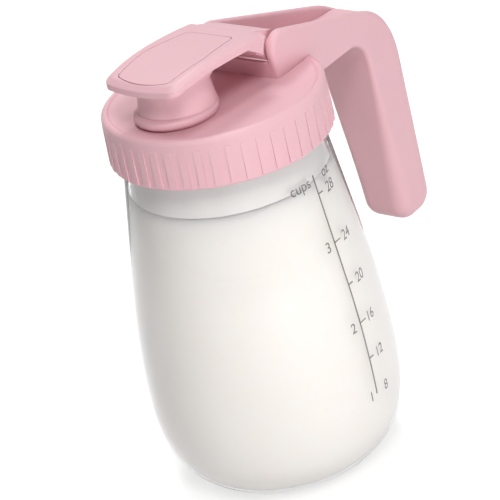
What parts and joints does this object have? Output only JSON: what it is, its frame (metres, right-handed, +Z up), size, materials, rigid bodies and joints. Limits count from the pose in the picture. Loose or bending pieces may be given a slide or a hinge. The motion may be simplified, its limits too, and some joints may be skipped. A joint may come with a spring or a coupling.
{
  "type": "baby formula pitcher",
  "caption": "Round-bellied glass formula jar with a ribbed screw lid, a flip lever that plugs the pouring spout, and a forked carrying handle.",
  "frame": {"origin": "on the jar's axis, in the plane that the jar stands on", "axes": "+Z up along the jar's axis, +X towards the handle with the spout at -X, +Y to the left of someone who looks along +X"},
  "size_m": [0.1604, 0.104, 0.1894],
  "materials": {
    "glass": "clear borosilicate",
    "lid_plastic": "fine matte",
    "silicone": "soft satin"
  },
  "bodies": {
    "jar": {"glass_jar": "glass"},
    "seal": {"lid_gasket": "silicone"},
    "lid": {"lid_shell": "lid_plastic", "handle_shell": "lid_plastic", "handle_insert": "lid_plastic"},
    "lever": {"flip_lever": "lid_plastic", "lever_panel": "lid_plastic", "spout_plug": "silicone"}
  },
  "joints": [
    {"name": "lid_rise", "type": "slide", "parent": "jar", "child": "seal", "axis": [0, 0, 1], "range_m": [0, 0.018]},
    {"name": "lid_turn", "type": "hinge", "parent": "seal", "child": "lid", "pos_m": [0, 0, 0.155], "axis": [0, 0, 1], "range_deg": [0, 540]},
    {"name": "lever_open", "type": "hinge", "parent": "lid", "child": "lever", "pos_m": [0.0224, 0, 0.1785], "axis": [0, 1, 0], "range_deg": [0, 105]}
  ],
  "couplings": [
    {"joint": "lid_rise", "follows": "lid_turn", "m_per_rad": 0.0019099}
  ]
}
